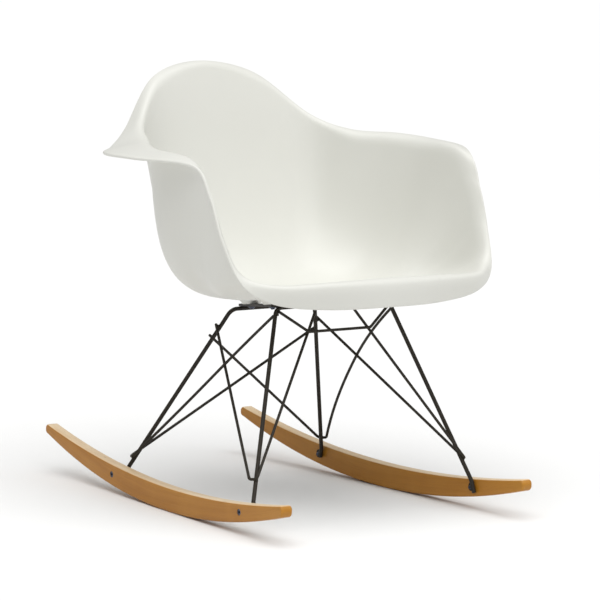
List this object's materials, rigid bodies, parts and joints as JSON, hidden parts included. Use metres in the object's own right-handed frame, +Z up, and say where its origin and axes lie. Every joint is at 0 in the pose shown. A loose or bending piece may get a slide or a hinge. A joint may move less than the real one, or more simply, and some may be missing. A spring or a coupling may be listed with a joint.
{
  "type": "rocking chair",
  "caption": "Rocking armchair with a white moulded bucket shell, a dark braced wire base and bent maple rockers.",
  "frame": {"origin": "on the floor, below the middle of the chair's outline", "axes": "+Z up, the sitter faces -Y, +X is the sitter's left"},
  "size_m": [0.6248, 0.696, 0.6637],
  "materials": {
    "shell_plastic": "satin moulded polypropylene with a fine grain",
    "dark_steel": "dark brown-black powder coat, semi-matte",
    "zinc": "dark blue-black plating",
    "maple": "golden maple under satin lacquer"
  },
  "bodies": {
    "root": {"seat_shell": "shell_plastic", "shell_bosses": "shell_plastic", "boss_inserts": "zinc", "mount_screws": "zinc", "mount_washers": "zinc", "left_mount_bar": "dark_steel", "right_mount_bar": "dark_steel", "rear_leg_rod": "dark_steel", "front_leg_rod": "dark_steel", "left_rear_strut": "dark_steel", "right_rear_strut": "dark_steel", "left_front_strut": "dark_steel", "right_front_strut": "dark_steel", "front_tie_wire": "dark_steel", "left_rocker": "maple", "right_rocker": "maple", "left_front_foot_plate": "dark_steel", "right_front_foot_plate": "dark_steel", "left_rear_foot_plate": "dark_steel", "right_rear_foot_plate": "dark_steel", "foot_bolts": "zinc", "barrel_nuts": "zinc"}
  },
  "joints": []
}
